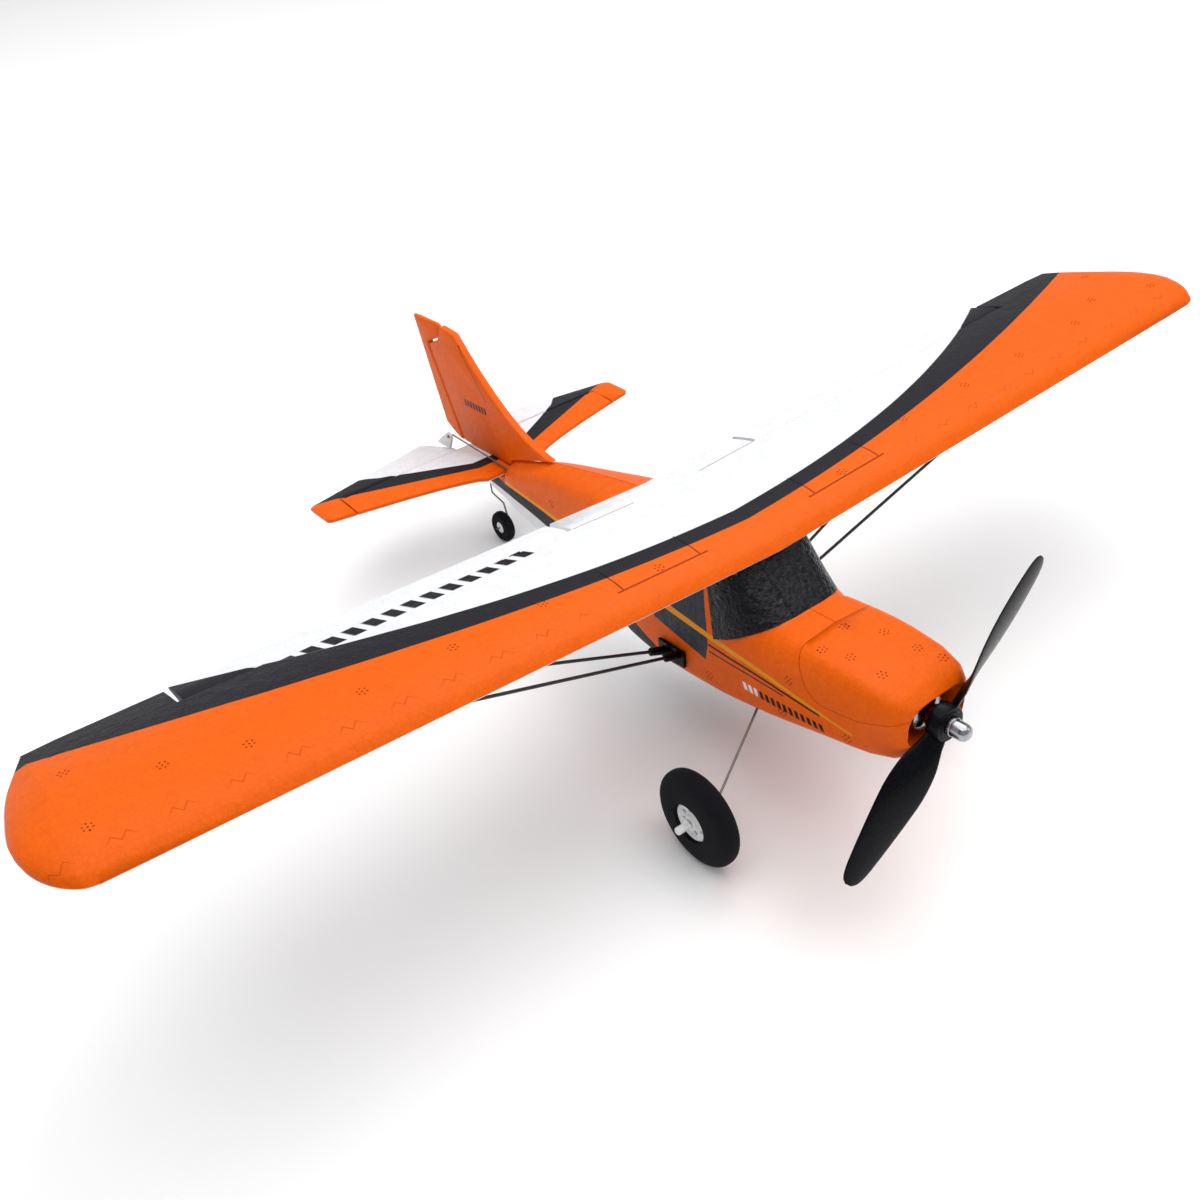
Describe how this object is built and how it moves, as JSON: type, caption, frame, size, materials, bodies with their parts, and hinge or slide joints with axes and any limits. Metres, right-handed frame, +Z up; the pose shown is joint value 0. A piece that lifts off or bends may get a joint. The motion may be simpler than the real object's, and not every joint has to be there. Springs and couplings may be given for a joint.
{
  "type": "rc foam airplane",
  "caption": "High-wing foam trainer aeroplane with wing struts, tail wheel, propeller, working control surfaces and a lift-off nose hatch.",
  "frame": {"origin": "centre of the bounding box at the floor, with the aircraft standing tail down on its three wheels", "axes": "+X to the aircraft's left wing tip, nose towards -Y, +Z up"},
  "size_m": [0.633, 0.4083, 0.1448],
  "materials": {
    "foam_orange": "moulded bead foam, sprayed",
    "foam_white": "moulded bead foam",
    "black_film": "thin glossy formed sheet",
    "black_plastic": "moulded",
    "black_foam": "fine foam rubber",
    "white_plastic": "moulded nylon",
    "steel_wire": "drawn wire",
    "carbon_rod": "pultruded rod",
    "turned_aluminium": "turned",
    "red_anodised": "anodised",
    "servo_case": "moulded",
    "battery_wrap": "shrink sleeve",
    "circuit_board": "solder mask",
    "plywood": "raw birch ply"
  },
  "bodies": {
    "airframe": {"fuselage_right": "foam_orange", "fuselage_left": "foam_orange", "wing": "foam_orange", "fin": "foam_orange", "tailplane": "foam_white", "windshield": "black_film", "strut_bracket_right": "black_plastic", "strut_bracket_left": "black_plastic", "strut_plate_right": "black_plastic", "strut_plate_left": "black_plastic", "motor_mount": "black_plastic", "gear_block": "white_plastic", "axle_cap_right": "white_plastic", "axle_cap_left": "white_plastic", "gear_wire": "steel_wire", "tailwheel_leg": "steel_wire", "spar_right": "carbon_rod", "spar_left": "carbon_rod", "strut_front_right": "carbon_rod", "strut_rear_right": "carbon_rod", "strut_front_left": "carbon_rod", "strut_rear_left": "carbon_rod", "motor_stator": "turned_aluminium", "aileron_servo_right": "servo_case", "aileron_servo_left": "servo_case", "elevator_servo": "servo_case", "rudder_servo": "servo_case", "battery": "battery_wrap", "control_board": "circuit_board", "servo_tray": "plywood"},
    "power": {"motor_bell": "red_anodised", "prop_adapter": "red_anodised", "propeller": "black_plastic", "prop_nut": "turned_aluminium"},
    "wheel_right": {"tyre_right": "black_foam", "hub_right": "white_plastic"},
    "wheel_left": {"tyre_left": "black_foam", "hub_left": "white_plastic"},
    "tail_wheel": {"tail_tyre": "black_foam", "tail_hub": "white_plastic"},
    "aileron_left": {"aileron_left": "foam_white", "aileron_horn_left": "white_plastic"},
    "aileron_right": {"aileron_right": "foam_white", "aileron_horn_right": "white_plastic"},
    "aileron_arm_left": {"aileron_servo_arm_left": "white_plastic"},
    "aileron_arm_right": {"aileron_servo_arm_right": "white_plastic"},
    "aileron_rod_left": {"aileron_pushrod_left": "steel_wire"},
    "aileron_rod_right": {"aileron_pushrod_right": "steel_wire"},
    "elevator": {"elevator_left": "foam_white", "elevator_right": "foam_white", "elevator_joiner": "steel_wire", "elevator_horn": "white_plastic"},
    "elevator_arm": {"elevator_servo_arm": "white_plastic"},
    "elevator_rod": {"elevator_pushrod": "steel_wire"},
    "rudder": {"rudder": "foam_orange", "rudder_horn": "white_plastic"},
    "rudder_arm": {"rudder_servo_arm": "white_plastic"},
    "rudder_rod": {"rudder_pushrod": "steel_wire"},
    "hatch": {"battery_hatch": "foam_orange"}
  },
  "joints": [
    {"name": "propeller_spin", "type": "hinge", "parent": "airframe", "child": "power", "pos_m": [0, -0.19151, 0.09144], "axis": [0, 0.9912, -0.132], "continuous": true},
    {"name": "wheel_right_spin", "type": "hinge", "parent": "airframe", "child": "wheel_right", "pos_m": [-0.06875, -0.12301, 0.024], "axis": [1, 0, 0], "continuous": true},
    {"name": "wheel_left_spin", "type": "hinge", "parent": "airframe", "child": "wheel_left", "pos_m": [0.06875, -0.12301, 0.024], "axis": [1, 0, 0], "continuous": true},
    {"name": "tail_wheel_spin", "type": "hinge", "parent": "airframe", "child": "tail_wheel", "pos_m": [0, 0.13049, 0.0095], "axis": [1, 0, 0], "continuous": true},
    {"name": "aileron_left_hinge", "type": "hinge", "parent": "airframe", "child": "aileron_left", "pos_m": [0.14872, -0.01739, 0.11864], "axis": [0.9989, 0.0061, 0.046], "range_deg": [-20, 20]},
    {"name": "aileron_right_hinge", "type": "hinge", "parent": "airframe", "child": "aileron_right", "pos_m": [-0.14872, -0.01739, 0.11864], "axis": [0.9989, -0.0061, -0.046], "range_deg": [-20.5, 20.5]},
    {"name": "aileron_arm_left_hinge", "type": "hinge", "parent": "airframe", "child": "aileron_arm_left", "pos_m": [0.12521, -0.05044, 0.12048], "axis": [0.9989, 0.0061, 0.046], "range_deg": [-20.5, 20.5]},
    {"name": "aileron_arm_right_hinge", "type": "hinge", "parent": "airframe", "child": "aileron_arm_right", "pos_m": [-0.12521, -0.05044, 0.12048], "axis": [0.9989, -0.0061, -0.046], "range_deg": [-20.5, 20.5]},
    {"name": "aileron_rod_left_slide", "type": "slide", "parent": "airframe", "child": "aileron_rod_left", "axis": [0, 0.9912, -0.132], "range_m": [-0.00319, 0.00319]},
    {"name": "aileron_rod_right_slide", "type": "slide", "parent": "airframe", "child": "aileron_rod_right", "axis": [0, 0.9912, -0.132], "range_m": [-0.00319, 0.00319]},
    {"name": "elevator_hinge", "type": "hinge", "parent": "airframe", "child": "elevator", "pos_m": [0, 0.15609, 0.05401], "axis": [1, 0, 0], "range_deg": [-20, 20]},
    {"name": "elevator_arm_hinge", "type": "hinge", "parent": "airframe", "child": "elevator_arm", "pos_m": [-0.012, -0.05056, 0.0893], "axis": [0, 0.132, 0.9912], "range_deg": [-24.94, 24.94]},
    {"name": "elevator_rod_slide", "type": "slide", "parent": "airframe", "child": "elevator_rod", "axis": [0, 0.9912, -0.132], "range_m": [-0.00389, 0.00389]},
    {"name": "rudder_hinge", "type": "hinge", "parent": "airframe", "child": "rudder", "pos_m": [0, 0.17686, 0.08272], "axis": [0, 0.4798, 0.8774], "range_deg": [-20, 20]},
    {"name": "rudder_arm_hinge", "type": "hinge", "parent": "airframe", "child": "rudder_arm", "pos_m": [0.012, -0.05056, 0.0893], "axis": [0, 0.132, 0.9912], "range_deg": [-23.31, 23.31]},
    {"name": "rudder_rod_slide", "type": "slide", "parent": "airframe", "child": "rudder_rod", "axis": [0, 0.9912, -0.132], "range_m": [-0.00363, 0.00363]},
    {"name": "hatch_lift", "type": "slide", "parent": "airframe", "child": "hatch", "axis": [0, 0.132, 0.9912], "range_m": [0, 0.05]}
  ],
  "couplings": [
    {"joint": "aileron_right_hinge", "follows": "aileron_left_hinge", "ratio": -1},
    {"joint": "aileron_arm_left_hinge", "follows": "aileron_left_hinge", "ratio": 1},
    {"joint": "aileron_arm_right_hinge", "follows": "aileron_left_hinge", "ratio": -1},
    {"joint": "aileron_rod_left_slide", "follows": "aileron_left_hinge", "m_per_rad": 0.009},
    {"joint": "aileron_rod_right_slide", "follows": "aileron_left_hinge", "m_per_rad": -0.009},
    {"joint": "elevator_arm_hinge", "follows": "elevator_hinge", "ratio": -1.2222},
    {"joint": "elevator_rod_slide", "follows": "elevator_hinge", "m_per_rad": -0.011},
    {"joint": "rudder_arm_hinge", "follows": "rudder_hinge", "ratio": -1.1404},
    {"joint": "rudder_rod_slide", "follows": "rudder_hinge", "m_per_rad": 0.010264}
  ]
}
